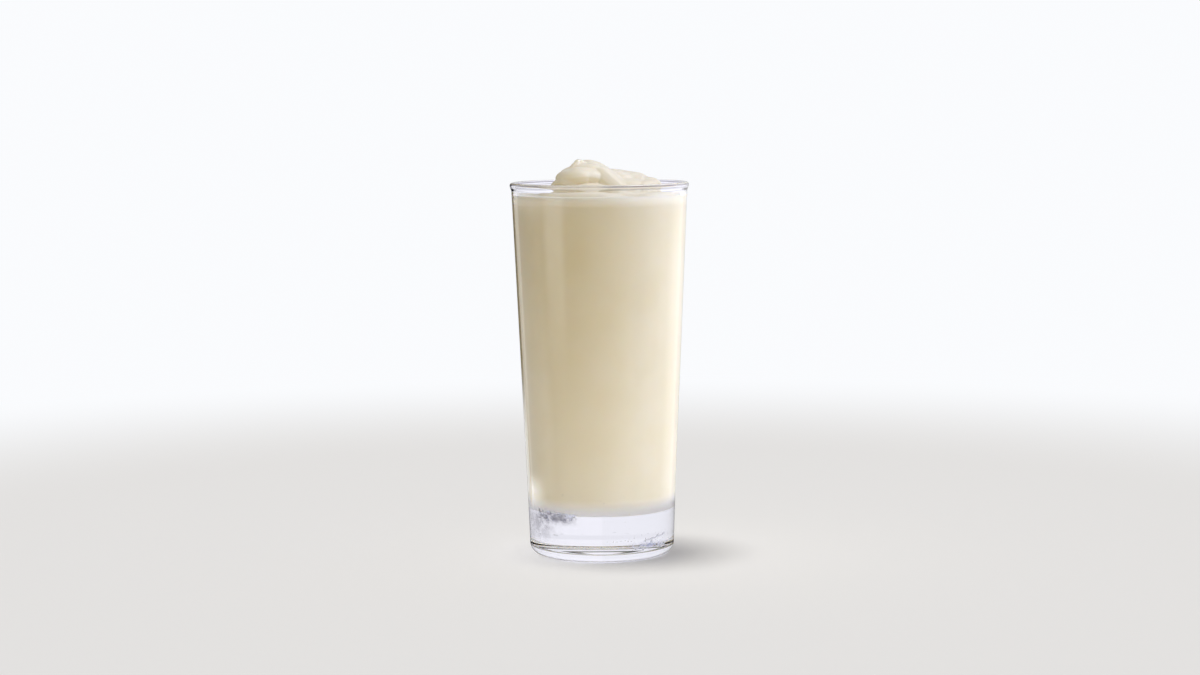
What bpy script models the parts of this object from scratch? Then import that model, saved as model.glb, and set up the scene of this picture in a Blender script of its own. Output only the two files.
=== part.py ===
"""Vanilla milkshake in a tall heavy-based tumbler.

Two pieces: the clear glass, turned from one profile, and the milkshake that
fills it, whose top is poured in one thick ribbon that coils up to a small tip.
Metres, +Z up. The origin is on the table, on the axis of the glass.
"""

import math

import bmesh
import bpy

MM = 0.001
WELD = 1e-6

# Glass, in millimetres.
GLASS_HEIGHT = 155.0
RIM_OUTER_RADIUS = 37.2
RIM_BEAD_RADIUS = 1.15
RIM_BEAD_FOOT = GLASS_HEIGHT - 3.68
BODY_TOP_RADIUS = 36.5
BODY_WAIST_HEIGHT = 21.0
BODY_WAIST_RADIUS = 30.75
HEEL_TOP_RADIUS = 30.15
HEEL_RADIUS = 4.5
FOOT_RING_INNER_RADIUS = 22.5
PUSH_UP_HEIGHT = 1.4
WALL_TOP = 2.0
WALL_FOOT = 3.0
INNER_FLOOR_HEIGHT = 18.6
INNER_FLOOR_DIP = 0.8
INNER_FILLET = 7.0
TURN_STEPS = 96
ARC_STEPS = 6
BEAD_STEPS = 8
SWELL_STEPS = 3

# Milkshake, in millimetres.
GAP = 0.3
LEVEL_BELOW_RIM = 5.3
MENISCUS_RISE = 0.35
MENISCUS_WIDTH = 2.2
CORE_RADIUS = 23.0
CORE_RISE = 6.4
CORE_RINGS = 7

# The poured ribbon lies in folds. Each point of a fold gives where its middle runs
# (x to the right, y to the back), how high its crest stands above the rim of the
# glass, and half its width. Its half height is a share of that, as it has slumped.
RIBBON_SLUMP = 0.7
BED = (
    (13.0, -22.5, -5.7, 2.4),
    (1.0, -20.5, -3.2, 6.0),
    (-13.5, -15.0, -1.9, 7.6),
    (-18.4, -1.5, -1.5, 7.4),
    (-13.6, 11.8, -1.7, 7.6),
    (1.0, 17.0, -1.5, 7.8),
    (14.2, 12.4, -1.3, 7.6),
    (21.2, 0.6, -1.5, 7.2),
    (17.5, -11.0, -2.3, 7.0),
    (9.0, -15.4, -2.4, 6.4),
    (0.0, -15.2, -2.0, 6.2),
    (-8.0, -13.5, -1.8, 5.4),
    (-14.0, -9.5, -2.0, 4.6),
)
SKIRT = (
    (-14.4, 3.0, -1.4, 4.4),
    (-14.2, -3.4, -0.6, 4.8),
    (-11.8, -7.8, -0.1, 5.6),
    (-6.0, -9.8, 0.0, 6.0),
    (0.6, -10.0, -0.3, 6.0),
    (7.0, -9.2, -0.6, 5.8),
)
COIL = (
    (3.0, -4.6, 2.6, 4.6),
    (-1.0, -5.0, 4.9, 5.6),
    (-5.0, -5.6, 6.2, 6.2),
    (-9.0, -6.0, 6.4, 6.8),
    (-12.6, -3.6, 5.4, 5.4),
    (-12.8, 0.8, 4.9, 5.0),
    (-10.4, 5.6, 4.5, 6.4),
    (-4.0, 8.2, 4.8, 7.2),
    (4.4, 6.4, 5.3, 6.8),
    (10.6, 3.0, 4.6, 7.4),
    (15.8, -0.4, 3.8, 7.6),
    (19.8, -2.8, 2.8, 5.8),
    (22.6, -3.8, 1.6, 3.4),
    (25.0, -4.4, -0.8, 1.6),
)
CAP = (
    (6.0, 2.0, 3.9, 3.2),
    (1.8, 1.4, 6.4, 3.6),
    (-2.2, 1.4, 8.7, 3.6),
    (-5.6, 2.0, 9.2, 3.5),
    (-9.0, 1.6, 7.8, 3.2),
    (-12.5, -0.4, 5.6, 2.6),
)
SHOULDER = (
    (-16.4, -3.4, 3.2, 1.8),
    (-13.2, -3.2, 5.8, 3.0),
    (-9.4, -3.0, 7.3, 4.2),
    (-4.8, -3.0, 8.0, 4.4),
    (-0.8, -2.6, 7.4, 4.0),
    (2.4, -2.0, 5.6, 3.4),
)
TIP = (
    (-5.4, 0.6, 7.6, 2.0),
    (-7.4, -0.8, 9.2, 1.8),
    (-8.4, -1.8, 9.8, 1.3),
    (-9.3, -2.8, 8.7, 1.8),
    (-10.6, -4.0, 6.8, 2.4),
)
FACE = (
    (-3.0, -1.0, 8.0, 3.4),
    (-0.2, -3.0, 7.2, 4.6),
    (2.4, -5.0, 5.4, 5.4),
    (4.8, -7.2, 3.2, 5.8),
    (7.4, -9.6, 1.2, 5.8),
    (10.6, -12.2, -1.6, 5.4),
    (13.4, -15.0, -4.6, 4.2),
)
FOOT = (
    (-20.2, -1.0, -2.8, 1.6),
    (-18.2, -2.8, -0.2, 2.2),
    (-16.2, -5.4, 1.7, 2.6),
    (-13.2, -8.0, 2.5, 3.2),
    (-9.0, -9.8, 1.2, 3.2),
)
FRONT_LOBE = (
    (1.6, -0.8, 5.5, 3.6),
    (5.0, -1.8, 5.5, 4.4),
    (8.0, -2.4, 4.8, 4.8),
    (11.0, -2.4, 3.4, 5.0),
    (14.0, -2.2, 1.2, 4.6),
)
END_FOLD = (
    (23.2, -4.6, -1.0, 1.8),
    (21.2, -6.6, 0.8, 2.8),
    (18.8, -8.8, 0.6, 3.2),
    (16.0, -10.8, -1.4, 2.8),
)
APRON = (
    (3.0, -8.0, 1.0, 5.6),
    (9.0, -7.6, 1.6, 6.4),
    (15.0, -6.6, 1.4, 6.6),
    (20.4, -5.8, 0.2, 5.2),
    (24.4, -4.8, -2.4, 3.0),
)
SIDE_SWELL = (
    (12.0, -20.0, -5.4, 2.0),
    (20.0, -17.0, -3.8, 4.4),
    (26.6, -5.0, -3.6, 5.0),
    (25.2, 10.0, -4.0, 4.8),
    (14.0, 22.0, -5.4, 2.2),
)
FOLDS = (BED, SKIRT, COIL, CAP, SHOULDER, TIP, FACE, FOOT, FRONT_LOBE, END_FOLD, APRON, SIDE_SWELL)
RIBBON_SIDES = 4
RIBBON_STEPS = 8
MOUND_VOXEL = 0.6
MOUND_SOFTEN = 3
SOFTEN_SHARE = 0.5
MOUND_TRIANGLES = 4200

GLASS_COLOUR = (0.94, 0.95, 0.98, 1.0)
GLASS_ROUGHNESS = 0.02
GLASS_IOR = 1.5
GLASS_SHARP_ANGLE = 40.0
SHAKE_COLOUR = (0.79, 0.70, 0.52, 1.0)
SHAKE_ROUGHNESS = 0.4
SHAKE_SHARP_ANGLE = 50.0


def clear_scene():
    """Removes whatever objects the file starts with."""
    for obj in list(bpy.data.objects):
        bpy.data.objects.remove(obj, do_unlink=True)


def new_collection(name):
    """A collection linked to the scene."""
    collection = bpy.data.collections.new(name)
    bpy.context.scene.collection.children.link(collection)
    return collection


def principled(name, colour, roughness, **sockets):
    """A plain material: colour, roughness and any other sockets by name."""
    material = bpy.data.materials.new(name)
    material.use_nodes = True
    shader = material.node_tree.nodes["Principled BSDF"]
    shader.inputs["Base Color"].default_value = colour
    shader.inputs["Roughness"].default_value = roughness
    shader.inputs["Metallic"].default_value = 0.0
    for socket, value in sockets.items():
        shader.inputs[socket.replace("_", " ")].default_value = value
    return material


def arc(centre_r, centre_z, radius, start, end, steps):
    """Points of a circular arc in the (radius, height) plane, angles in degrees."""
    points = []
    for i in range(steps + 1):
        angle = math.radians(start + (end - start) * i / steps)
        points.append((centre_r + radius * math.cos(angle), centre_z + radius * math.sin(angle)))
    return points


def swell(share):
    """A smooth fall from 1 to 0 as the share goes from 0 to 1."""
    return 0.5 + 0.5 * math.cos(math.pi * share)


def inner_radius(z):
    """Radius of the inside of the glass at height z, above its fillet."""
    share = (z - INNER_FLOOR_HEIGHT) / (GLASS_HEIGHT - INNER_FLOOR_HEIGHT)
    foot = BODY_WAIST_RADIUS - WALL_FOOT
    top = BODY_TOP_RADIUS - WALL_TOP
    return foot + (top - foot) * share


def inner_bottom(inset):
    """The inside of the glass from the axis out round its fillet, moved inwards by inset."""
    wall = inner_radius(INNER_FLOOR_HEIGHT + INNER_FILLET) - inset
    floor = INNER_FLOOR_HEIGHT + inset
    corner = arc(wall - INNER_FILLET, floor + INNER_FILLET, INNER_FILLET, -90, 0, ARC_STEPS)
    dished = []
    for i in range(SWELL_STEPS):
        share = i / SWELL_STEPS
        dished.append((corner[0][0] * share, floor - INNER_FLOOR_DIP * swell(share)))
    return dished + corner


def glass_profile():
    """The wall of the glass in section, from the underside out, up and back down inside."""
    push_up = []
    for i in range(SWELL_STEPS + 1):
        share = i / SWELL_STEPS
        push_up.append((FOOT_RING_INNER_RADIUS * share, PUSH_UP_HEIGHT * swell(share)))
    heel = arc(HEEL_TOP_RADIUS - HEEL_RADIUS, HEEL_RADIUS, HEEL_RADIUS, -90, 0, ARC_STEPS)
    middle = GLASS_HEIGHT - RIM_BEAD_RADIUS
    neck = [(BODY_WAIST_RADIUS, BODY_WAIST_HEIGHT)]
    for i in range(SWELL_STEPS):
        share = i / SWELL_STEPS
        radius = RIM_OUTER_RADIUS + (BODY_TOP_RADIUS - RIM_OUTER_RADIUS) * swell(share)
        neck.append((radius, RIM_BEAD_FOOT + (middle - RIM_BEAD_FOOT) * share))
    bead = arc(RIM_OUTER_RADIUS - RIM_BEAD_RADIUS, middle, RIM_BEAD_RADIUS, 0, 180, BEAD_STEPS)
    inner_top = (inner_radius(RIM_BEAD_FOOT), RIM_BEAD_FOOT)
    return push_up + heel + neck + bead + [inner_top] + inner_bottom(0.0)[::-1]


def shake_profile():
    """The milkshake in section without its ribbon, from the axis at the floor up to its level."""
    level = GLASS_HEIGHT - LEVEL_BELOW_RIM
    edge = inner_radius(level) - GAP
    surface = [(edge, level + MENISCUS_RISE), (edge - MENISCUS_WIDTH, level)]
    for ring in range(CORE_RINGS + 1):
        share = 1.0 - ring / CORE_RINGS
        surface.append((CORE_RADIUS * share, level + CORE_RISE * swell(share)))
    return inner_bottom(GAP) + surface


def turned(name, profile, steps):
    """A closed solid: the profile, from axis to axis, turned about Z by a Screw modifier."""
    mesh = bpy.data.meshes.new(name)
    shape = bmesh.new()
    points = [shape.verts.new((r * MM, 0.0, z * MM)) for r, z in reversed(profile)]
    for first, second in zip(points, points[1:]):
        shape.edges.new((first, second))
    shape.to_mesh(mesh)
    shape.free()
    obj = bpy.data.objects.new(name, mesh)
    screw = obj.modifiers.new("turn", "SCREW")
    screw.steps = steps
    screw.render_steps = steps
    screw.use_merge_vertices = True
    screw.merge_threshold = WELD
    return obj


def fold_curve(name, stations):
    """One fold of the ribbon as a bevelled curve, slumped to an oval section."""
    curve = bpy.data.curves.new(name, "CURVE")
    curve.dimensions = "3D"
    curve.bevel_depth = MM
    curve.bevel_resolution = RIBBON_SIDES
    curve.resolution_u = RIBBON_STEPS
    curve.use_fill_caps = True
    spline = curve.splines.new("BEZIER")
    spline.bezier_points.add(len(stations) - 1)
    spline.radius_interpolation = "CARDINAL"
    for point, (x, y, crest, half) in zip(spline.bezier_points, stations):
        middle = GLASS_HEIGHT + crest - RIBBON_SLUMP * half
        point.co = (x * MM, y * MM, middle * MM / RIBBON_SLUMP)
        point.radius = half
        point.handle_left_type = "AUTO"
        point.handle_right_type = "AUTO"
    fold = bpy.data.objects.new(name, curve)
    fold.scale = (1.0, 1.0, RIBBON_SLUMP)
    return fold


def keep_outer_skin(shape):
    """Deletes every closed skin but the one with the most points, and so fills sealed hollows."""
    waiting = set(shape.verts)
    skins = []
    while waiting:
        skin = [waiting.pop()]
        for vert in skin:
            near = {edge.other_vert(vert) for edge in vert.link_edges} & waiting
            waiting -= near
            skin.extend(near)
        skins.append(skin)
    skins.sort(key=len)
    inner = [vert for skin in skins[:-1] for vert in skin]
    bmesh.ops.delete(shape, geom=inner, context="VERTS")


def as_mesh(obj, name):
    """A mesh object of the evaluated shape, its caps welded, in place of the given object."""
    bpy.context.view_layer.update()
    graph = bpy.context.evaluated_depsgraph_get()
    mesh = bpy.data.meshes.new_from_object(obj.evaluated_get(graph))
    mesh.name = name
    shape = bmesh.new()
    shape.from_mesh(mesh)
    bmesh.ops.remove_doubles(shape, verts=shape.verts, dist=WELD)
    keep_outer_skin(shape)
    bmesh.ops.recalc_face_normals(shape, faces=shape.faces)
    shape.to_mesh(mesh)
    shape.free()
    made = bpy.data.objects.new(name, mesh)
    made.matrix_world = obj.matrix_world
    for collection in obj.users_collection:
        collection.objects.link(made)
    bpy.data.objects.remove(obj, do_unlink=True)
    made.name = name
    return made


def finish(obj, material, sharp_angle):
    """Smooth shading with sharp edges past the angle, and the material."""
    obj.data.materials.clear()
    obj.data.materials.append(material)
    obj.data.shade_smooth()
    obj.data.set_sharp_from_angle(angle=math.radians(sharp_angle))


def make_glass(parts):
    """The tumbler: one wall of clear glass, thick at the base."""
    glass = turned("glass_tumbler", glass_profile(), TURN_STEPS)
    parts.objects.link(glass)
    glass = as_mesh(glass, "glass_tumbler")
    clear = principled(
        "clear_glass", GLASS_COLOUR, GLASS_ROUGHNESS, Transmission_Weight=1.0, IOR=GLASS_IOR
    )
    finish(glass, clear, GLASS_SHARP_ANGLE)
    return glass


def make_mound(parts):
    """The folds of the ribbon, fused into one soft closed body."""
    shape = bmesh.new()
    for number, stations in enumerate(FOLDS):
        fold = fold_curve("fold_%d" % number, stations)
        parts.objects.link(fold)
        fold = as_mesh(fold, fold.name)
        fold.data.transform(fold.matrix_world)
        shape.from_mesh(fold.data)
        bpy.data.objects.remove(fold, do_unlink=True)
    mesh = bpy.data.meshes.new("mound")
    shape.to_mesh(mesh)
    shape.free()
    mound = bpy.data.objects.new("mound", mesh)
    parts.objects.link(mound)
    remesh = mound.modifiers.new("fuse", "REMESH")
    remesh.mode = "VOXEL"
    remesh.voxel_size = MOUND_VOXEL * MM
    soften = mound.modifiers.new("soften", "SMOOTH")
    soften.factor = SOFTEN_SHARE
    soften.iterations = MOUND_SOFTEN
    mound = as_mesh(mound, "mound")
    thin = mound.modifiers.new("thin", "DECIMATE")
    thin.ratio = MOUND_TRIANGLES / max(1, 2 * len(mound.data.polygons))
    return as_mesh(mound, "mound")


def make_milkshake(parts):
    """The milkshake up to its level, with its coil fused on."""
    body = turned("milkshake", shake_profile(), TURN_STEPS)
    parts.objects.link(body)
    body = as_mesh(body, "milkshake")
    mound = make_mound(parts)
    fuse = body.modifiers.new("fuse", "BOOLEAN")
    fuse.operation = "UNION"
    fuse.solver = "EXACT"
    fuse.object = mound
    shake = as_mesh(body, "milkshake")
    bpy.data.objects.remove(mound, do_unlink=True)
    cream = principled("vanilla_milkshake", SHAKE_COLOUR, SHAKE_ROUGHNESS)
    finish(shake, cream, SHAKE_SHARP_ANGLE)
    return shake


def main():
    clear_scene()
    parts = new_collection("vanilla_milkshake_glass")
    make_glass(parts)
    make_milkshake(parts)


if __name__ == "__main__":
    main()
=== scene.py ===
"""Vanilla milkshake in a tall glass, dressed for its portrait.

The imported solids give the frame. The glass and the milkshake are made here as fine pieces
that stand where those solids are, with condensation on the outside of the glass.
Millimetres in the tables, metres in the scene, +Z up, the viewer at -Y.
"""

import math
import random

import bmesh
import bpy
from mathutils import Matrix, Vector


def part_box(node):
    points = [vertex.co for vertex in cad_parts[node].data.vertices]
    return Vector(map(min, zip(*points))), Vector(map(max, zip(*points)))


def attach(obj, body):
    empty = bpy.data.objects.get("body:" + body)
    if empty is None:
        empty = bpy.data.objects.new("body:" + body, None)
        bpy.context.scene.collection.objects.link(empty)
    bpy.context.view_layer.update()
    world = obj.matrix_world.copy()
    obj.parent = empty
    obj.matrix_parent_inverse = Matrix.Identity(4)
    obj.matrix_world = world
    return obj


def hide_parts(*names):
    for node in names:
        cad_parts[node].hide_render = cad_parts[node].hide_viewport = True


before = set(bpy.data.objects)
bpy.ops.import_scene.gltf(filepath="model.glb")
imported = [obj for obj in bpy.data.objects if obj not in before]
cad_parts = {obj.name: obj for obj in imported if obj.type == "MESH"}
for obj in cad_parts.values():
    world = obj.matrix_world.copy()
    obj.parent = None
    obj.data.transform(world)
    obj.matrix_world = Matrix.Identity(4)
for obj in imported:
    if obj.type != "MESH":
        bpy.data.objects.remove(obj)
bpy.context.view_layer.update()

MM = 0.001
WELD = 1e-6

# Glass, in millimetres. The rim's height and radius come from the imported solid.
GLASS_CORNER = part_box("glass_tumbler")[1]
GLASS_HEIGHT = GLASS_CORNER.z / MM
RIM_OUTER_RADIUS = GLASS_CORNER.x / MM
RIM_BEAD_RADIUS = 1.15
RIM_BEAD_FOOT = GLASS_HEIGHT - 3.68
BODY_TOP_RADIUS = 36.5
BODY_WAIST_HEIGHT = 21.0
BODY_WAIST_RADIUS = 30.75
HEEL_TOP_RADIUS = 30.15
HEEL_RADIUS = 4.5
FOOT_RING_INNER_RADIUS = 22.5
PUSH_UP_HEIGHT = 1.4
WALL_TOP = 2.0
WALL_FOOT = 3.0
INNER_FLOOR_HEIGHT = 18.6
INNER_FLOOR_DIP = 0.8
INNER_FILLET = 7.0
TURN_STEPS = 192
# Fine dark lines round the rim bead, where it bends light, are painted shade in the glass's
# colour. Each has a depth below the top, a half width and a strength.
PAINTED_RIM_SHADE_LINES = ((0.68, 0.42, 0.95), (1.75, 0.30, 0.45))
# Degrees to the right of the viewer's side between which the lines rise and fall off again
# to being fainter, and by what share they are.
FAINT_SECTOR = (-44.0, -32.0, 8.0, -2.0)
FAINT_SHARE = 0.65
RING_SPACING = 4.0

# Milkshake, in millimetres. It reaches just into the wall, so that no air gap shows.
WALL_BITE = 0.08
LEVEL_BELOW_RIM = 5.3
MENISCUS_RISE = 0.35
MENISCUS_WIDTH = 2.2
CORE_RADIUS = 23.0
CORE_RISE = 6.4
CORE_RINGS = 24

# The poured ribbon lies in folds. Each point of a fold gives where its middle runs
# (x to the right, y to the back), how high its crest stands above the rim of the
# glass, and half its width. Its half height is a share of that, as it has slumped.
RIBBON_SLUMP = 0.7
BED = (
    (13.0, -22.5, -5.7, 2.4),
    (1.0, -20.5, -3.2, 6.0),
    (-13.5, -15.0, -1.9, 7.6),
    (-18.4, -1.5, -1.5, 7.4),
    (-13.6, 11.8, -1.7, 7.6),
    (1.0, 17.0, -1.5, 7.8),
    (14.2, 12.4, -1.3, 7.6),
    (21.2, 0.6, -1.5, 7.2),
    (17.5, -11.0, -2.3, 7.0),
    (9.0, -15.4, -2.4, 6.4),
    (0.0, -15.2, -2.0, 6.2),
    (-8.0, -13.5, -1.8, 5.4),
    (-14.0, -9.5, -2.0, 4.6),
)
SKIRT = (
    (-14.4, 3.0, -1.4, 4.4),
    (-14.2, -3.4, -0.6, 4.8),
    (-11.8, -7.8, -0.1, 5.6),
    (-6.0, -9.8, 0.0, 6.0),
    (0.6, -10.0, -0.3, 6.0),
    (7.0, -9.2, -0.6, 5.8),
)
COIL = (
    (3.0, -4.6, 2.6, 4.6),
    (-1.0, -5.0, 4.9, 5.6),
    (-5.0, -5.6, 6.2, 6.2),
    (-9.0, -6.0, 6.4, 6.8),
    (-12.6, -3.6, 5.4, 5.4),
    (-12.8, 0.8, 4.9, 5.0),
    (-10.4, 5.6, 4.5, 6.4),
    (-4.0, 8.2, 4.8, 7.2),
    (4.4, 6.4, 5.3, 6.8),
    (10.6, 3.0, 4.6, 7.4),
    (15.8, -0.4, 3.8, 7.6),
    (19.8, -2.8, 2.8, 5.8),
    (22.6, -3.8, 1.6, 3.4),
    (25.0, -4.4, -0.8, 1.6),
)
CAP = (
    (6.0, 2.0, 3.9, 3.2),
    (1.8, 1.4, 6.4, 3.6),
    (-2.2, 1.4, 8.7, 3.6),
    (-5.6, 2.0, 9.2, 3.5),
    (-9.0, 1.6, 7.8, 3.2),
    (-12.5, -0.4, 5.6, 2.6),
)
SHOULDER = (
    (-16.4, -3.4, 3.2, 1.8),
    (-13.2, -3.2, 5.8, 3.0),
    (-9.4, -3.0, 7.3, 4.2),
    (-4.8, -3.0, 8.0, 4.4),
    (-0.8, -2.6, 7.4, 4.0),
    (2.4, -2.0, 5.6, 3.4),
)
TIP = (
    (-5.4, 0.6, 7.6, 2.0),
    (-7.4, -0.8, 9.2, 1.8),
    (-8.4, -1.8, 9.65, 1.3),
    (-9.3, -2.8, 8.7, 1.8),
    (-10.6, -4.0, 6.8, 2.4),
)
FACE = (
    (-3.0, -1.0, 8.0, 3.4),
    (-0.2, -3.0, 7.2, 4.6),
    (2.4, -5.0, 5.4, 5.4),
    (4.8, -7.2, 3.2, 5.8),
    (7.4, -9.6, 1.2, 5.8),
    (10.6, -12.2, -1.6, 5.4),
    (13.4, -15.0, -4.6, 4.2),
)
FOOT = (
    (-20.2, -1.0, -2.8, 1.6),
    (-18.2, -2.8, -0.2, 2.2),
    (-16.2, -5.4, 1.7, 2.6),
    (-13.2, -8.0, 2.5, 3.2),
    (-9.0, -9.8, 1.2, 3.2),
)
FRONT_LOBE = (
    (1.6, -0.8, 5.5, 3.6),
    (5.0, -1.8, 5.5, 4.4),
    (8.0, -2.4, 4.8, 4.8),
    (11.0, -2.4, 3.4, 5.0),
    (14.0, -2.2, 1.2, 4.6),
)
END_FOLD = (
    (23.2, -4.6, -1.0, 1.8),
    (21.2, -6.6, 0.8, 2.8),
    (18.8, -8.8, 0.6, 3.2),
    (16.0, -10.8, -1.4, 2.8),
)
APRON = (
    (3.0, -8.0, 1.0, 5.6),
    (9.0, -7.6, 1.6, 6.4),
    (15.0, -6.6, 1.4, 6.6),
    (20.4, -5.8, 0.2, 5.2),
    (24.4, -4.8, -2.4, 3.0),
)
SIDE_SWELL = (
    (12.0, -20.0, -5.4, 2.0),
    (20.0, -17.0, -3.8, 4.4),
    (26.6, -5.0, -3.6, 5.0),
    (25.2, 10.0, -4.0, 4.8),
    (14.0, 22.0, -5.4, 2.2),
)
FOLDS = (BED, SKIRT, COIL, CAP, SHOULDER, TIP, FACE, FOOT, FRONT_LOBE, END_FOLD, APRON, SIDE_SWELL)
RIBBON_SIDES = 96
RIBBON_STEPS = 16
RIBS = (17, 13)
RIB_DEPTH = 0.005
MOUND_VOXEL = 0.26
MOUND_SOFTEN = 5

# Condensation on the outside of the glass. Places are degrees to the right of the
# viewer's side of the glass and millimetres above the table, sizes are millimetres.
DROP_GAP = 0.01
DROP_SIDES = 10
DROP_RINGS = ((1.0, 0.0), (0.88, 0.5), (0.55, 0.86))
DROP_HEIGHT = 0.55
DROP_SEED = 11
# Zones of drops: from and to round the wall, from and to up it, the smallest and the
# largest radius, and how many.
SCATTER = (
    (-180.0, 180.0, 4.5, 30.0, 0.06, 0.20, 170),
    (-62.0, -20.0, 14.6, 20.6, 0.08, 0.30, 46),
    (14.0, 64.0, 4.8, 11.5, 0.08, 0.30, 60),
    (4.0, 24.0, 8.6, 9.6, 0.14, 0.24, 13),
)
# Zones where drops have run together.
WET_LEFT = (
    (-58.0, -46.0, 17.0, 20.6, 0.30, 0.75, 26),
    (-50.0, -22.0, 17.4, 20.2, 0.35, 0.95, 44),
)
WET_RIGHT = ((33.0, 60.0, 4.9, 6.9, 0.25, 0.70, 34),)
# Two runs of water, as places along them.
RIVULET = (
    (24.7, 7.0),
    (26.5, 5.6),
    (29.0, 5.5),
    (32.0, 7.0),
    (35.0, 6.7),
    (38.5, 6.2),
    (41.0, 7.4),
    (43.0, 8.7),
)
DARK_RUN = (
    (34.5, 8.3),
    (37.5, 8.9),
    (40.0, 8.6),
    (43.0, 9.3),
    (45.7, 9.1),
    (49.0, 9.9),
    (52.0, 9.7),
    (58.0, 10.4),
)
RUN_STEPS = 9
RUN_WIDTHS = (0.22, 0.48)
RUN_JITTER = 0.12
# Zones of mist: from and to round the wall, from and to up it, and the thickest share.
MIST = (
    (-60.0, -14.0, 14.5, 21.5, 0.80),
    (12.0, 66.0, 4.6, 8.6, 0.50),
    (-86.0, -30.0, 6.0, 24.0, 0.55),
)
# The mist's grey-lavender colour is partly its own haze and partly painted shade, darkening the wall
# where it lies.
MIST_AND_SHADE_COLOUR = (0.62, 0.62, 0.70, 1.0)
MIST_CELLS = (48, 12)
MIST_THICKNESS = 0.02
WET_VOXEL = 0.12
WET_FLATNESS = 0.5

# The drink's finish changes with height, in metres: above OPEN_TOP it is moist and free of
# the wall, below UNDERSIDE it rests on the clear base and is painted paler, with a painted
# glow for the light the base carries there; a weaker painted glow reaches up the front,
# between the degrees of FRONT_SECTOR.
OPEN_TOP = (0.1478, 0.15)
UNDERSIDE = (0.0265, 0.0195)
PAINTED_GLOW_OF_BASE = 0.22
FRONT_SECTOR = (-80.0, -25.0, 64.0, 18.0)
FRONT_GLOW = (0.0325, 0.1275, 0.49, 0.0)

# The photograph's camera, worked out from the rim's and the base's ellipses.
CAMERA_PLACE = (-0.0002, -1.109, 0.1976)
CAMERA_PITCH = 5.532
CAMERA_ROLL = 0.454
CAMERA_LENS = 80.11
CAMERA_SENSOR = 36.0

# Studio, in metres.
FLOOR_RADIUS = 6.0
FLOOR_STEPS = 96
NEAR_FLOOR = 0.30
FAR_FLOOR = 0.66
BACKDROP_COLOUR = (0.957, 0.968, 0.988, 1.0)
FLOOR_COLOUR = (0.80, 0.792, 0.788, 1.0)
MIRRORED_RADIUS = 0.09
SEEN_THROUGH_RADIUS = 0.07
CARD_HEIGHT = 0.4
CARD_LIFT = 0.00005


class Wire:
    """A shader socket that takes part in sums. Each operator adds its Math node."""

    def __init__(self, tree, socket):
        self.tree = tree
        self.socket = socket

    def maths(self, operation, first, second):
        return self.tree.add("ShaderNodeMath", {"operation": operation}, {0: first, 1: second})

    def __add__(self, other):
        return self.maths("ADD", self, other)

    __radd__ = __add__

    def __mul__(self, other):
        return self.maths("MULTIPLY", self, other)

    __rmul__ = __mul__

    def __sub__(self, other):
        return self.maths("SUBTRACT", self, other)

    def __rsub__(self, other):
        return self.maths("SUBTRACT", other, self)


class Tree:
    """The nodes of a material, a world or a lamp, emptied first."""

    def __init__(self, owner):
        owner.use_nodes = True
        self.nodes = owner.node_tree.nodes
        self.links = owner.node_tree.links
        self.nodes.clear()

    def add(self, kind, settings=None, sockets=None, out=0):
        """Adds a node: its settings, then its sockets' values or wires. Returns one output."""
        node = self.nodes.new(kind)
        for name, value in (settings or {}).items():
            if name == "stops":
                self.set_stops(node.color_ramp, value)
            else:
                setattr(node, name, value)
        for name, value in (sockets or {}).items():
            if isinstance(value, Wire):
                self.links.new(value.socket, node.inputs[name])
            else:
                node.inputs[name].default_value = value
        return Wire(self, node.outputs[out]) if node.outputs else None

    @staticmethod
    def set_stops(ramp, stops):
        """Gives a colour ramp its stops: pairs of a place and a grey or a colour."""
        while len(ramp.elements) < len(stops):
            ramp.elements.new(1.0)
        ramp.interpolation = "EASE"
        for element, (place, colour) in zip(ramp.elements, stops):
            element.position = place
            element.color = colour if isinstance(colour, tuple) else (colour, colour, colour, 1.0)

    def place(self, scale=(1.0, 1.0, 1.0)):
        """Object coordinates, stretched by scale."""
        where = self.add("ShaderNodeTexCoord", out="Object")
        return self.add("ShaderNodeMapping", None, {"Vector": where, "Scale": scale})

    def noise(self, where, scale, detail=2.0, roughness=0.5):
        return self.add(
            "ShaderNodeTexNoise",
            None,
            {"Vector": where, "Scale": scale, "Detail": detail, "Roughness": roughness},
        )

    def ease(self, value, low, high, start=0.0, end=1.0):
        """Goes smoothly from start to end as value goes from low to high."""
        return self.add(
            "ShaderNodeMapRange",
            {"interpolation_type": "SMOOTHSTEP"},
            {"Value": value, "From Min": low, "From Max": high, "To Min": start, "To Max": end},
        )

    def window(self, value, bounds):
        """Rises from 0 to 1 between the first two bounds, falls between the last two."""
        rise_from, rise_to, fall_to, fall_from = bounds
        return self.ease(value, rise_from, rise_to) * self.ease(value, fall_to, fall_from)

    def part(self, where, axis):
        """One of the three numbers of a place."""
        return self.add("ShaderNodeSeparateXYZ", None, {0: where}, out=axis)

    def degrees_round(self, where):
        """The angle of a place round Z, from the viewer's side to the right."""
        x = self.part(where, "X")
        return x.maths("ARCTAN2", x, 0.0 - self.part(where, "Y")) * (180.0 / math.pi)

    def mixed(self, factor, first, second):
        """A colour between two colours."""
        return self.add(
            "ShaderNodeMix", {"data_type": "RGBA"}, {0: factor, 6: first, 7: second}, out=2
        )

    def lets_lamps_through(self, surface):
        """The surface, through which the lamps still light what stands behind it."""
        lamps = self.add("ShaderNodeLightPath", out="Is Shadow Ray")
        clear = self.add("ShaderNodeBsdfTransparent")
        return self.add("ShaderNodeMixShader", None, {0: lamps, 1: surface, 2: clear})

    def finish(self, surface):
        self.add("ShaderNodeOutputMaterial", None, {"Surface": surface})


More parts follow.
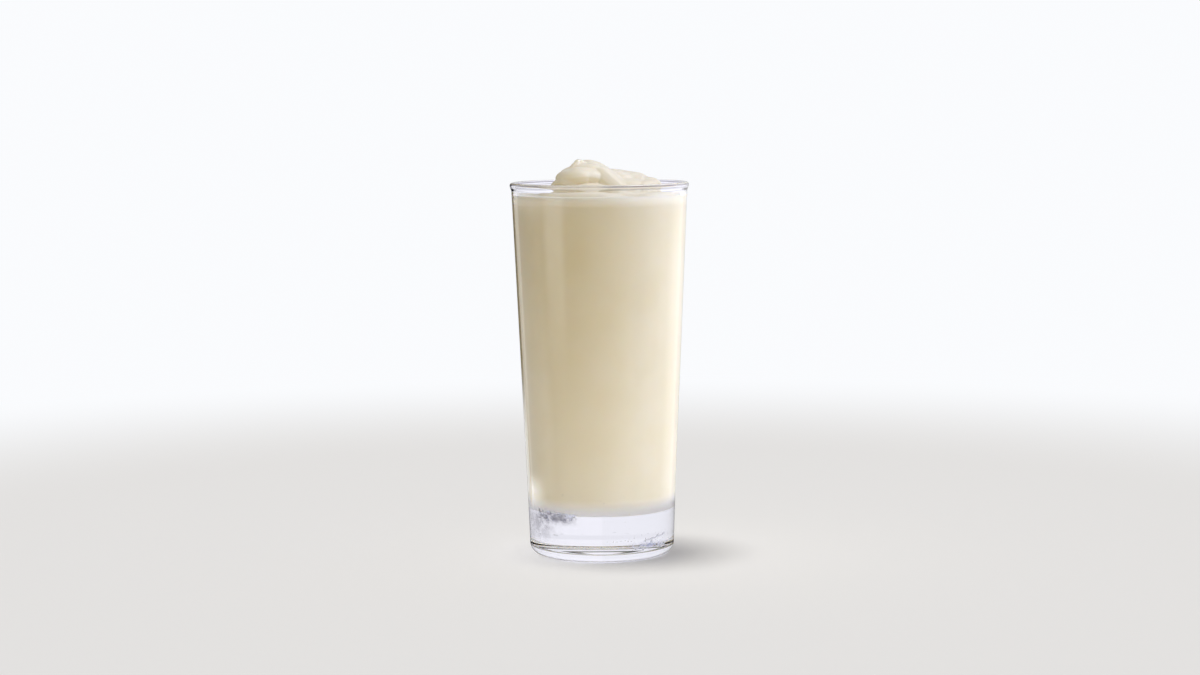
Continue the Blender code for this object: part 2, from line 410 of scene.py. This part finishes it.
def clear_glass():
    """Clear tumbler glass, a little cool where it is thick, with a faint waviness, and painted shade:
    fine dark lines in its colour round the rim bead.
    """
    material = bpy.data.materials.new("clear_glass")
    tree = Tree(material)
    waves = tree.noise(tree.place((1.0, 1.0, 0.35)), 70.0)
    ripple = tree.add("ShaderNodeBump", None, {"Strength": 0.02, "Distance": 0.0004, "Height": waves})
    height = tree.part(tree.place(), "Z") * (1.0 / MM)
    # Painted shade: the glass's colour is darkened in fine lines round the rim bead, fainter in one
    # sector at the front.
    shade = 0.0
    for depth, half_width, share in PAINTED_RIM_SHADE_LINES:
        away = height - (GLASS_HEIGHT - depth)
        off = away.maths("ABSOLUTE", away, 0.0)
        shade = tree.ease(off, half_width, 0.4 * half_width, 0.0, share) + shade
    faint = tree.window(tree.degrees_round(tree.place()), FAINT_SECTOR) * FAINT_SHARE
    painted_shade_tint = tree.mixed(shade * (1.0 - faint), (0.982, 0.984, 1.0, 1.0), (0.20, 0.18, 0.23, 1.0))
    glass = tree.add(
        "ShaderNodeBsdfPrincipled",
        None,
        {
            "Base Color": painted_shade_tint,
            "Roughness": 0.0,
            "IOR": 1.5,
            "Transmission Weight": 1.0,
            "Normal": ripple,
        },
    )
    tree.finish(tree.lets_lamps_through(glass))
    return material


def water(name, painted_shade_tint):
    """Condensed water, tinted grey where it lies as a film: painted shade that darkens what shows
    through it.
    """
    material = bpy.data.materials.new(name)
    tree = Tree(material)
    grain = tree.noise(tree.place(), 900.0)
    ripple = tree.add("ShaderNodeBump", None, {"Strength": 0.1, "Distance": 0.0001, "Height": grain})
    drop = tree.add(
        "ShaderNodeBsdfPrincipled",
        None,
        {
            "Base Color": painted_shade_tint,
            "Roughness": 0.0,
            "IOR": 1.33,
            "Transmission Weight": 1.0,
            "Normal": ripple,
        },
    )
    tree.finish(tree.lets_lamps_through(drop))
    return material


def mist(name, zone):
    """A breath of mist in a zone of the wall: thickest in its middle, gone at its borders. Its grey
    is partly haze and partly painted shade.
    """
    left, right, low, high, thickest = zone
    material = bpy.data.materials.new(name)
    tree = Tree(material)
    where = tree.place()
    middle = 0.5 * (left + right)
    centre = 0.5 * (low + high)
    sideways = tree.window(tree.degrees_round(where), (left, middle, right, middle))
    upwards = tree.window(tree.part(where, "Z") * (1.0 / MM), (low, centre, high, centre))
    cloud = tree.ease(tree.noise(where, 320.0, 4.0), 0.36, 0.62, 0.35, 1.0)
    veil = tree.add("ShaderNodeBsdfDiffuse", None, {"Color": MIST_AND_SHADE_COLOUR})
    clear = tree.add("ShaderNodeBsdfTransparent")
    share = sideways * upwards * cloud * thickest
    tree.finish(tree.add("ShaderNodeMixShader", None, {0: share, 1: clear, 2: veil}))
    return material


def vanilla_cream():
    """Thick vanilla milkshake: pale cream, moist on top, matt where it lies on the glass.

    Its underside is painted paler and given a painted glow, for the light the clear base carries to
    it, and a weaker painted glow goes some way up its front."""
    material = bpy.data.materials.new("vanilla_milkshake")
    tree = Tree(material)
    where = tree.place()
    cloud = tree.noise(where, 55.0, 3.0)
    speck = tree.noise(where, 1400.0, 2.0)
    patch = tree.ease(cloud, 0.35, 0.65)
    walled = tree.mixed(patch, (0.87, 0.775, 0.525, 1.0), (0.89, 0.80, 0.565, 1.0))
    open_top = tree.mixed(patch, (0.87, 0.775, 0.55, 1.0), (0.89, 0.805, 0.60, 1.0))
    height = tree.part(where, "Z")
    top = tree.ease(height, *OPEN_TOP)
    pale = tree.mixed(top, walled, open_top)
    # Painted light: the underside is painted paler and glows, and the front glows more faintly
    # further up.
    bottom = tree.ease(height, *UNDERSIDE)
    painted_paler_underside = tree.mixed(bottom, pale, (0.93, 0.90, 0.84, 1.0))
    front = tree.window(tree.degrees_round(where), FRONT_SECTOR)
    rising = tree.ease(height, *FRONT_GLOW)
    painted_front_glow = tree.mixed(rising * front, (0.0, 0.0, 0.0, 1.0), (0.92, 0.95, 1.0, 1.0))
    painted_glow_colour = tree.mixed(bottom, painted_front_glow, (1.0, 0.97, 0.95, 1.0))
    streaks = tree.noise(tree.place((1.0, 1.0, 6.0)), 260.0, 3.0)
    relief = tree.add(
        "ShaderNodeBump",
        None,
        {"Strength": 0.12, "Distance": 0.0004, "Height": (0.6 * streaks + 0.4 * speck) * top},
    )
    cream = tree.add(
        "ShaderNodeBsdfPrincipled",
        None,
        {
            "Base Color": painted_paler_underside,
            "Roughness": 0.75 - 0.37 * top + 0.1 * (cloud - 0.5),
            "IOR": 1.36,
            "Subsurface Weight": 0.35,
            "Subsurface Radius": (1.0, 0.75, 0.45),
            "Subsurface Scale": 0.003,
            # Painted glow, standing in for the light the clear base carries; the cream is no lamp.
            "Emission Color": painted_glow_colour,
            "Emission Strength": PAINTED_GLOW_OF_BASE,
            "Normal": relief,
        },
    )
    tree.finish(cream)
    return material


def arc(centre_r, centre_z, radius, start, end, steps):
    """Points of a circular arc in the (radius, height) plane, angles in degrees."""
    points = []
    for i in range(steps + 1):
        angle = math.radians(start + (end - start) * i / steps)
        points.append((centre_r + radius * math.cos(angle), centre_z + radius * math.sin(angle)))
    return points


def rings_between(low, high, radius_at):
    """Points of a wall at even heights between low and high, both left out."""
    count = max(2, round((high - low) / RING_SPACING))
    heights = [low + (high - low) * i / count for i in range(1, count)]
    return [(radius_at(z), z) for z in heights]


def outer_radius(z):
    """Radius of the outside of the glass at height z, from the heel up to the rim bead."""
    if z < BODY_WAIST_HEIGHT:
        share = (z - HEEL_RADIUS) / (BODY_WAIST_HEIGHT - HEEL_RADIUS)
        return HEEL_TOP_RADIUS + (BODY_WAIST_RADIUS - HEEL_TOP_RADIUS) * share
    share = (z - BODY_WAIST_HEIGHT) / (RIM_BEAD_FOOT - BODY_WAIST_HEIGHT)
    return BODY_WAIST_RADIUS + (BODY_TOP_RADIUS - BODY_WAIST_RADIUS) * share


def inner_radius(z):
    """Radius of the inside of the glass at height z, above its fillet."""
    share = (z - INNER_FLOOR_HEIGHT) / (GLASS_HEIGHT - INNER_FLOOR_HEIGHT)
    foot = BODY_WAIST_RADIUS - WALL_FOOT
    top = BODY_TOP_RADIUS - WALL_TOP
    return foot + (top - foot) * share


def inner_bottom(inset):
    """The inside of the glass from the axis out round its fillet, moved inwards by inset."""
    wall = inner_radius(INNER_FLOOR_HEIGHT + INNER_FILLET) - inset
    floor = INNER_FLOOR_HEIGHT + inset
    corner = arc(wall - INNER_FILLET, floor + INNER_FILLET, INNER_FILLET, -90, 0, 16)
    dish = []
    for i in range(8):
        share = i / 8
        sunk = INNER_FLOOR_DIP * (0.5 + 0.5 * math.cos(math.pi * share))
        dish.append((corner[0][0] * share, floor - sunk))
    return dish + corner


def glass_section():
    """The wall of the glass from the underside out, up round the rim and back down inside."""
    push_up = []
    for i in range(9):
        share = i / 8
        rise = PUSH_UP_HEIGHT * (0.5 + 0.5 * math.cos(math.pi * share))
        push_up.append((FOOT_RING_INNER_RADIUS * share, rise))
    heel = arc(HEEL_TOP_RADIUS - HEEL_RADIUS, HEEL_RADIUS, HEEL_RADIUS, -90, 0, 16)
    wall = rings_between(HEEL_RADIUS, BODY_WAIST_HEIGHT, outer_radius)
    wall += [(outer_radius(BODY_WAIST_HEIGHT), BODY_WAIST_HEIGHT)]
    wall += rings_between(BODY_WAIST_HEIGHT, RIM_BEAD_FOOT, outer_radius)
    middle = GLASS_HEIGHT - RIM_BEAD_RADIUS
    neck = []
    for i in range(8):
        share = i / 8
        bulge = 0.5 - 0.5 * math.cos(math.pi * share)
        radius = BODY_TOP_RADIUS + (RIM_OUTER_RADIUS - BODY_TOP_RADIUS) * bulge
        neck.append((radius, RIM_BEAD_FOOT + (middle - RIM_BEAD_FOOT) * share))
    bead = arc(RIM_OUTER_RADIUS - RIM_BEAD_RADIUS, middle, RIM_BEAD_RADIUS, 0, 180, 20)
    fillet_top = INNER_FLOOR_HEIGHT + INNER_FILLET
    inside = rings_between(fillet_top, RIM_BEAD_FOOT, inner_radius)
    inside += [(inner_radius(RIM_BEAD_FOOT), RIM_BEAD_FOOT)]
    return push_up + heel + wall + neck + bead + inside[::-1] + inner_bottom(0.0)[::-1]


def shake_section():
    """The milkshake without its ribbon, from the axis at the floor up to its level and back."""
    level = GLASS_HEIGHT - LEVEL_BELOW_RIM
    fillet_top = INNER_FLOOR_HEIGHT + INNER_FILLET
    wall = rings_between(fillet_top, level, lambda z: inner_radius(z) + WALL_BITE)
    edge = inner_radius(level) + WALL_BITE
    surface = [(edge, level + MENISCUS_RISE)]
    for i in range(1, 6):
        share = i / 5
        surface.append((edge - MENISCUS_WIDTH * share, level + MENISCUS_RISE * (1.0 - share) ** 2))
    for ring in range(CORE_RINGS + 1):
        share = 1.0 - ring / CORE_RINGS
        rise = CORE_RISE * (0.5 + 0.5 * math.cos(math.pi * share))
        surface.append((CORE_RADIUS * share, level + rise))
    return inner_bottom(-WALL_BITE) + wall + surface


def turned(name, section):
    """A closed piece: the section, from axis to axis, spun about Z."""
    shape = bmesh.new()
    points = [shape.verts.new((r * MM, 0.0, z * MM)) for r, z in section]
    edges = [shape.edges.new(pair) for pair in zip(points, points[1:])]
    bmesh.ops.spin(
        shape,
        geom=points + edges,
        cent=(0.0, 0.0, 0.0),
        axis=(0.0, 0.0, 1.0),
        angle=2.0 * math.pi,
        steps=TURN_STEPS,
        use_merge=True,
    )
    bmesh.ops.remove_doubles(shape, verts=shape.verts, dist=WELD)
    bmesh.ops.recalc_face_normals(shape, faces=shape.faces)
    return as_piece(name, shape)


def as_piece(name, shape):
    """An object of the bmesh, which is freed."""
    mesh = bpy.data.meshes.new(name)
    shape.to_mesh(mesh)
    shape.free()
    piece = bpy.data.objects.new(name, mesh)
    bpy.context.scene.collection.objects.link(piece)
    return piece


def settled(obj):
    """The object with its modifiers applied, as a mesh of its own in its place."""
    bpy.context.view_layer.update()
    graph = bpy.context.evaluated_depsgraph_get()
    mesh = bpy.data.meshes.new_from_object(obj.evaluated_get(graph))
    mesh.transform(obj.matrix_world)
    shape = bmesh.new()
    shape.from_mesh(mesh)
    bmesh.ops.remove_doubles(shape, verts=shape.verts, dist=WELD)
    name = obj.name
    bpy.data.objects.remove(obj, do_unlink=True)
    bpy.data.meshes.remove(mesh)
    piece = as_piece(name, shape)
    piece.name = name
    return piece


def keep_outer_skin(piece):
    """Deletes every closed skin but the largest, and so fills sealed hollows."""
    shape = bmesh.new()
    shape.from_mesh(piece.data)
    waiting = set(shape.verts)
    skins = []
    while waiting:
        skin = [waiting.pop()]
        for vert in skin:
            near = {edge.other_vert(vert) for edge in vert.link_edges} & waiting
            waiting -= near
            skin.extend(near)
        skins.append(skin)
    skins.sort(key=len)
    inner = [vert for skin in skins[:-1] for vert in skin]
    bmesh.ops.delete(shape, geom=inner, context="VERTS")
    bmesh.ops.recalc_face_normals(shape, faces=shape.faces)
    shape.to_mesh(piece.data)
    shape.free()


def ribbed_outline():
    """The section of the ribbon, 1 mm in radius, with the faint ribs that pouring leaves."""
    curve = bpy.data.curves.new("ribbed_outline", "CURVE")
    spline = curve.splines.new("POLY")
    spline.points.add(RIBBON_SIDES - 1)
    spline.use_cyclic_u = True
    for i, point in enumerate(spline.points):
        angle = 2.0 * math.pi * i / RIBBON_SIDES
        radius = MM * (1.0 + RIB_DEPTH * sum(math.cos(count * angle) for count in RIBS))
        point.co = (radius * math.cos(angle), radius * math.sin(angle), 0.0, 1.0)
    outline = bpy.data.objects.new("ribbed_outline", curve)
    bpy.context.scene.collection.objects.link(outline)
    return outline


def fold(name, stations, outline):
    """One fold of the ribbon: a tube along its stations, slumped to an oval section."""
    curve = bpy.data.curves.new(name, "CURVE")
    curve.dimensions = "3D"
    curve.bevel_mode = "OBJECT"
    curve.bevel_object = outline
    curve.resolution_u = RIBBON_STEPS
    curve.use_fill_caps = True
    spline = curve.splines.new("BEZIER")
    spline.bezier_points.add(len(stations) - 1)
    spline.radius_interpolation = "CARDINAL"
    for point, (x, y, crest, half) in zip(spline.bezier_points, stations):
        middle = GLASS_HEIGHT + crest - RIBBON_SLUMP * half
        point.co = (x * MM, y * MM, middle * MM / RIBBON_SLUMP)
        point.radius = half
        point.handle_left_type = "AUTO"
        point.handle_right_type = "AUTO"
    ribbon = bpy.data.objects.new(name, curve)
    ribbon.scale = (1.0, 1.0, RIBBON_SLUMP)
    bpy.context.scene.collection.objects.link(ribbon)
    return settled(ribbon)


def fused(name, pieces, voxel, soften):
    """The pieces fused into one closed skin by a voxel remesh, and softened."""
    shape = bmesh.new()
    for piece in pieces:
        shape.from_mesh(piece.data)
        bpy.data.objects.remove(piece, do_unlink=True)
    whole = as_piece(name, shape)
    remesh = whole.modifiers.new("fuse", "REMESH")
    remesh.mode = "VOXEL"
    remesh.voxel_size = voxel * MM
    smooth = whole.modifiers.new("soften", "SMOOTH")
    smooth.factor = 0.5
    smooth.iterations = soften
    return settled(whole)


def make_milkshake():
    """The milkshake: what fills the glass, with its coiled ribbon fused on."""
    body = turned("milkshake_fine", shake_section())
    outline = ribbed_outline()
    folds = [fold("fold_%d" % number, stations, outline) for number, stations in enumerate(FOLDS)]
    bpy.data.objects.remove(outline, do_unlink=True)
    mound = fused("mound", folds, MOUND_VOXEL, MOUND_SOFTEN)
    keep_outer_skin(mound)
    union = body.modifiers.new("fuse", "BOOLEAN")
    union.operation = "UNION"
    union.solver = "MANIFOLD"
    union.object = mound
    piece = settled(body)
    bpy.data.objects.remove(mound, do_unlink=True)
    dress(piece, vanilla_cream())
    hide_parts("milkshake")
    return piece


def make_glass():
    """The tumbler, turned finely so that it bends light smoothly."""
    piece = turned("glass_fine", glass_section())
    dress(piece, clear_glass())
    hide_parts("glass_tumbler")
    return piece


def on_glass(along, up, out):
    """A point of the unrolled wall (along it, up and out of it, in mm) on the round glass."""
    if up < HEEL_RADIUS:
        drop = HEEL_RADIUS - up
        radius = HEEL_TOP_RADIUS - HEEL_RADIUS + math.sqrt(HEEL_RADIUS ** 2 - drop ** 2)
    else:
        radius = outer_radius(up)
    reach = radius + DROP_GAP + out
    angle = along / BODY_WAIST_RADIUS
    return Vector((reach * math.sin(angle), -reach * math.cos(angle), up)) * MM


def add_drop(shape, dice, along, up, radius):
    """One small closed drop: a dome with a slightly uneven outline."""
    lean = dice.uniform(0.0, 2.0 * math.pi)
    tall = dice.uniform(0.9, 1.35)
    rings = []
    for spread, rise in DROP_RINGS:
        ring = []
        for i in range(DROP_SIDES):
            angle = 2.0 * math.pi * i / DROP_SIDES
            reach = radius * spread * (1.0 + 0.12 * math.sin(2.0 * angle + lean))
            sideways = along + reach * math.cos(angle)
            upwards = up + reach * tall * math.sin(angle)
            ring.append(shape.verts.new(on_glass(sideways, upwards, DROP_HEIGHT * radius * rise)))
        rings.append(ring)
    tip = shape.verts.new(on_glass(along, up, DROP_HEIGHT * radius))
    shape.faces.new(rings[0][::-1])
    for i in range(DROP_SIDES):
        j = (i + 1) % DROP_SIDES
        for low, high in zip(rings, rings[1:]):
            shape.faces.new((low[i], low[j], high[j], high[i]))
        shape.faces.new((rings[-1][i], rings[-1][j], tip))


def scattered(dice, zone):
    """Random places and sizes in a zone of the wall, in mm along and up it."""
    left, right, low, high, small, large, count = zone
    places = []
    for _ in range(count):
        along = math.radians(dice.uniform(left, right)) * BODY_WAIST_RADIUS
        radius = small + (large - small) * dice.random() ** 2
        places.append((along, dice.uniform(low, high), radius))
    return places


def along_run(dice, stations):
    """Blobs strung closely along a run of water."""
    blobs = []
    for (phi, up), (next_phi, next_up) in zip(stations, stations[1:]):
        for i in range(RUN_STEPS):
            share = i / RUN_STEPS
            along = math.radians(phi + (next_phi - phi) * share) * BODY_WAIST_RADIUS
            height = up + (next_up - up) * share + dice.uniform(-RUN_JITTER, RUN_JITTER)
            blobs.append((along, height, dice.uniform(*RUN_WIDTHS)))
    return blobs


def make_drops():
    """Single drops, scattered all round and thicker at the two wet places."""
    dice = random.Random(DROP_SEED)
    shape = bmesh.new()
    for zone in SCATTER:
        for along, up, radius in scattered(dice, zone):
            add_drop(shape, dice, along, up, radius)
    bmesh.ops.recalc_face_normals(shape, faces=shape.faces)
    piece = as_piece("condensation_drops", shape)
    dress(piece, water("condensed_water", (0.99, 0.992, 1.0, 1.0)))
    return piece


def make_wet_patch(name, blobs, painted_shade_tint):
    """Drops that have run together: fused flat blobs, laid on the wall."""
    shape = bmesh.new()
    for along, up, radius in blobs:
        squash = Matrix.Diagonal((radius * MM, radius * MM, radius * WET_FLATNESS * MM, 1.0))
        place = Matrix.Translation((along * MM, up * MM, 0.0))
        bmesh.ops.create_icosphere(shape, subdivisions=2, radius=1.0, matrix=place @ squash)
    piece = fused(name, [as_piece(name, shape)], WET_VOXEL, 1)
    for vert in piece.data.vertices:
        along, up, out = vert.co / MM
        vert.co = on_glass(along, up, max(out, 0.0))
    shape = bmesh.new()
    shape.from_mesh(piece.data)
    bmesh.ops.recalc_face_normals(shape, faces=shape.faces)
    shape.to_mesh(piece.data)
    shape.free()
    dress(piece, water(name, painted_shade_tint))
    return piece


def make_mist(name, zone, lift=0.0):
    """A thin film over the zone, lifted off the wall by lift."""
    left, right, low, high, _ = zone
    columns, rows = MIST_CELLS
    shape = bmesh.new()
    for out in (lift, lift + MIST_THICKNESS):
        grid = []
        for i in range(columns + 1):
            along = math.radians(left + (right - left) * i / columns) * BODY_WAIST_RADIUS
            heights = [low + (high - low) * j / rows for j in range(rows + 1)]
            grid.append([shape.verts.new(on_glass(along, up, out)) for up in heights])
        for i in range(columns):
            for j in range(rows):
                shape.faces.new((grid[i][j], grid[i + 1][j], grid[i + 1][j + 1], grid[i][j + 1]))
    bmesh.ops.bridge_loops(shape, edges=[edge for edge in shape.edges if edge.is_boundary])
    bmesh.ops.recalc_face_normals(shape, faces=shape.faces)
    piece = as_piece(name, shape)
    dress(piece, mist(name, zone))
    return piece


def make_wet_patches():
    """The wet patch at the upper left of the base and the runs at its lower right."""
    dice = random.Random(DROP_SEED)
    left = [blob for zone in WET_LEFT for blob in scattered(dice, zone)]
    right = [blob for zone in WET_RIGHT for blob in scattered(dice, zone)]
    runs = along_run(dice, RIVULET) + along_run(dice, DARK_RUN)
    return [
        # The wet patches and runs are tinted grey: painted shade.
        make_wet_patch("wet_patch_left", left, (0.80, 0.81, 0.86, 1.0)),
        make_wet_patch("wet_patch_right", right, (0.84, 0.85, 0.88, 1.0)),
        make_wet_patch("water_runs", runs, (0.80, 0.81, 0.84, 1.0)),
        make_mist("mist_left", MIST[0]),
        make_mist("mist_right", MIST[1]),
        make_mist("mist_low_left", MIST[2], 2.0 * MIST_THICKNESS),
    ]


def dress(piece, material):
    """Smooth shading, the material, and its place on the body."""
    piece.data.materials.clear()
    piece.data.materials.append(material)
    piece.data.shade_smooth()
    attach(piece, "root")


def stage_piece(name, shape, material):
    """A piece of the studio."""
    piece = as_piece(name, shape)
    piece.data.materials.append(material)
    return piece


def floor_finish():
    """Pale grey table near the glass, melting into the bright backdrop all round."""
    material = bpy.data.materials.new("pale_floor")
    tree = Tree(material)
    away = tree.add("ShaderNodeVectorMath", {"operation": "LENGTH"}, {0: tree.place()}, out="Value")
    far = tree.ease(away, NEAR_FLOOR, FAR_FLOOR)
    table = tree.add("ShaderNodeBsdfDiffuse", None, {"Color": FLOOR_COLOUR})
    backdrop = tree.add("ShaderNodeEmission", None, {"Color": BACKDROP_COLOUR})
    tree.finish(tree.add("ShaderNodeMixShader", None, {0: far, 1: table, 2: backdrop}))
    material.cycles.emission_sampling = "NONE"
    return material


def make_floor():
    shape = bmesh.new()
    bmesh.ops.create_circle(shape, cap_ends=True, segments=FLOOR_STEPS, radius=FLOOR_RADIUS)
    return stage_piece("floor", shape, floor_finish())


# What stands round the glass in the studio, by the angle in turns from straight behind
# it, clockwise as seen from above: behind 0, right 0.25, viewer 0.5, left 0.75.
MIRRORED_STOPS = (
    (0.0, 0.31),
    (0.0625, 0.31),
    (0.0956, 0.33),
    (0.1436, 0.50),
    (0.178, 0.85),
    (0.2156, 0.86),
    (0.275, 0.50),
    (0.319, 0.30),
    (0.375, 0.10),
    (0.439, 0.02),
    (0.5, 0.02),
    (0.815, 0.02),
    (0.829, 0.40),
    (0.856, 0.40),
    (0.868, 0.0),
    (0.905, 0.0),
    (0.925, 0.31),
)
MIRRORED_STRENGTH = 2.2
# Where each soft box rises and falls round the glass in turns, and its strength from one
# height to another in metres: a narrow one at the left front, one overhead at the right,
# and three beside the left wall.
STRIP_TURNS = (0.598, 0.625, 0.690, 0.660)
STRIP_GLOW = (0.05, 0.125, 0.0, 1.6)
OVERHEAD_TURNS = (0.50, 0.35)
OVERHEAD_GLOW = (0.26, 0.32, 0.0, 4.0)
LEFT_BOXES = (
    ((0.66, 0.71, 0.85, 0.815), (0.05, 0.15, 1.1, 0.5)),
    ((0.71, 0.775, 0.86, 0.82), (0.024, 0.012, 0.0, 3.0)),
    ((0.845, 0.862, 0.915, 0.90), (0.075, 0.035, 0.0, 1.4)),
)
LEFT_FOOT = (0.003, 0.015)
# The mirrored cards are dim below the level of the drink's floor.
MIRRORED_FOOT = (0.006, 0.013, 0.12, 1.0)
SOFT_BOX_COLOUR = (0.92, 0.95, 1.0, 1.0)
SEEN_THROUGH_STOPS = (
    (0.0, (0.94, 0.935, 1.01, 1.0)),
    (0.12, (0.94, 0.935, 1.01, 1.0)),
    (0.22, (0.74, 0.73, 0.84, 1.0)),
    (0.40, (0.70, 0.68, 0.66, 1.0)),
    (0.5, (0.66, 0.62, 0.55, 1.0)),
    (0.75, (0.50, 0.47, 0.43, 1.0)),
    (0.86, (0.90, 0.90, 0.97, 1.0)),
)
UNDER_BASE_COLOUR = (0.85, 0.85, 0.92, 1.0)
UNDER_BASE_TOP = (0.0002, 0.0006)
SEEN_THROUGH_FOOT = (0.008, 0.03, 1.0, 1.1)
SEEN_THROUGH_TOP = (0.165, 0.185, 1.0, 0.22)


def ring_of_cards(name, radius, height, colour_at):
    """An upright ring round the glass that glows by colour_at(tree, turn, height)."""
    material = bpy.data.materials.new(name)
    tree = Tree(material)
    where = tree.place()
    x = tree.part(where, "X")
    angle = x.maths("ARCTAN2", x, tree.part(where, "Y")) * (0.5 / math.pi)
    turn = tree.add("ShaderNodeMath", {"operation": "FRACT"}, {0: angle + 1.0})
    tree.finish(colour_at(tree, turn, tree.part(where, "Z")))
    material.cycles.emission_sampling = "NONE"
    shape = bmesh.new()
    bmesh.ops.create_circle(shape, cap_ends=True, segments=FLOOR_STEPS, radius=radius)
    rim = [edge for edge in shape.edges if edge.is_boundary]
    side = bmesh.ops.extrude_edge_only(shape, edges=rim)
    top = [vert for vert in side["geom"] if isinstance(vert, bmesh.types.BMVert)]
    bmesh.ops.translate(shape, verts=top, vec=(0.0, 0.0, height))
    bmesh.ops.translate(shape, verts=shape.verts, vec=(0.0, 0.0, CARD_LIFT))
    ring = stage_piece(name, shape, material)
    ring.visible_camera = False
    ring.visible_diffuse = False
    ring.visible_shadow = False
    ring.visible_volume_scatter = False
    return ring


def mirrored_cards(tree, turn, height):
    """A broad soft box at the right, a narrow one at the left front, dark cards behind left."""
    cards = tree.add("ShaderNodeValToRGB", {"stops": MIRRORED_STOPS}, {"Fac": turn})
    bright = tree.ease(height, *MIRRORED_FOOT) * MIRRORED_STRENGTH
    around = tree.add("ShaderNodeEmission", None, {"Color": cards, "Strength": bright})
    strip = tree.window(turn, STRIP_TURNS) * tree.ease(height, *STRIP_GLOW)
    overhead = tree.ease(turn, *OVERHEAD_TURNS) * tree.ease(height, *OVERHEAD_GLOW)
    left = 0.0
    for turns, strength in LEFT_BOXES:
        left = tree.window(turn, turns) * tree.ease(height, *strength) + left
    total = strip + overhead + left * tree.ease(height, *LEFT_FOOT)
    glow = tree.add("ShaderNodeEmission", None, {"Color": SOFT_BOX_COLOUR, "Strength": total})
    return tree.add("ShaderNodeAddShader", None, {0: around, 1: glow})


def cards_seen_through(tree, turn, height):
    """The bright sweep that shows through the clear base and the rim, and lights the drink."""
    sides = tree.add("ShaderNodeValToRGB", {"stops": SEEN_THROUGH_STOPS}, {"Fac": turn})
    colour = tree.mixed(tree.ease(height, *UNDER_BASE_TOP), UNDER_BASE_COLOUR, sides)
    low = tree.ease(height, *SEEN_THROUGH_FOOT)
    dark = tree.ease(height, *SEEN_THROUGH_TOP)
    return tree.add("ShaderNodeEmission", None, {"Color": colour, "Strength": low * dark})


def make_cards():
    """Cards and soft boxes that show only in the glass: mirrored by it, or seen through it."""
    mirrored = ring_of_cards("mirrored_cards", MIRRORED_RADIUS, CARD_HEIGHT, mirrored_cards)
    mirrored.visible_transmission = False
    seen = ring_of_cards("cards_seen_through", SEEN_THROUGH_RADIUS, CARD_HEIGHT, cards_seen_through)
    seen.visible_glossy = False


def far_lamp(name, turn, height, softness, strength, colour=(1.0, 1.0, 1.0)):
    """A far soft lamp. turn is its angle from straight behind the glass, clockwise seen
    from above, and height is its angle above the table, in degrees. The glass doesn't
    mirror it."""
    lamp = bpy.data.lights.new(name, "SUN")
    lamp.angle = math.radians(softness)
    lamp.energy = strength
    lamp.color = colour
    holder = bpy.data.objects.new(name, lamp)
    flat = math.cos(math.radians(height))
    towards = Vector((
        math.sin(math.radians(turn)) * flat,
        math.cos(math.radians(turn)) * flat,
        math.sin(math.radians(height)),
    ))
    holder.rotation_euler = towards.to_track_quat("Z", "Y").to_euler()
    holder.visible_glossy = False
    bpy.context.scene.collection.objects.link(holder)
    return holder


def make_light(pieces, floor):
    """Soft daylight from all round, a broad lamp at the right and one overhead."""
    world = bpy.data.worlds.new("studio")
    bpy.context.scene.world = world
    tree = Tree(world)
    air = tree.add("ShaderNodeBackground", None, {"Color": (1.0, 0.98, 0.95, 1.0), "Strength": 0.3})
    sky = tree.add("ShaderNodeBackground", None, {"Color": BACKDROP_COLOUR})
    seen = tree.add("ShaderNodeLightPath", out="Is Camera Ray")
    both = tree.add("ShaderNodeMixShader", None, {0: seen, 1: air, 2: sky})
    tree.add("ShaderNodeOutputWorld", None, {"Surface": both})
    table = far_lamp("table_lamp", 285.0, 85.0, 17.0, 2.08)
    key = far_lamp("key", 98.0, 50.0, 35.0, 2.02, (0.85, 0.935, 1.31))
    fill = far_lamp("fill", 205.0, 10.0, 100.0, 0.80, (1.0, 0.95, 0.90))
    key.visible_glossy = True
    for lamp, lit in ((table, [floor]), (key, pieces), (fill, pieces)):
        receivers = bpy.data.collections.new("lit_by_" + lamp.name)
        for obj in lit:
            receivers.objects.link(obj)
        lamp.light_linking.receiver_collection = receivers


def make_camera():
    lens = bpy.data.cameras.new("portrait")
    lens.lens = CAMERA_LENS
    lens.sensor_width = CAMERA_SENSOR
    camera = bpy.data.objects.new("portrait", lens)
    aim = Matrix.Rotation(math.radians(90.0 - CAMERA_PITCH), 4, "X")
    roll = Matrix.Rotation(math.radians(-CAMERA_ROLL), 4, "Z")
    camera.matrix_world = Matrix.Translation(CAMERA_PLACE) @ aim @ roll
    bpy.context.scene.collection.objects.link(camera)
    bpy.context.scene.camera = camera


def main():
    make_camera()
    pieces = [make_glass(), make_milkshake(), make_drops()] + make_wet_patches()
    floor = make_floor()
    make_cards()
    make_light(pieces, floor)
    bpy.context.scene.view_settings.view_transform = "Standard"


main()
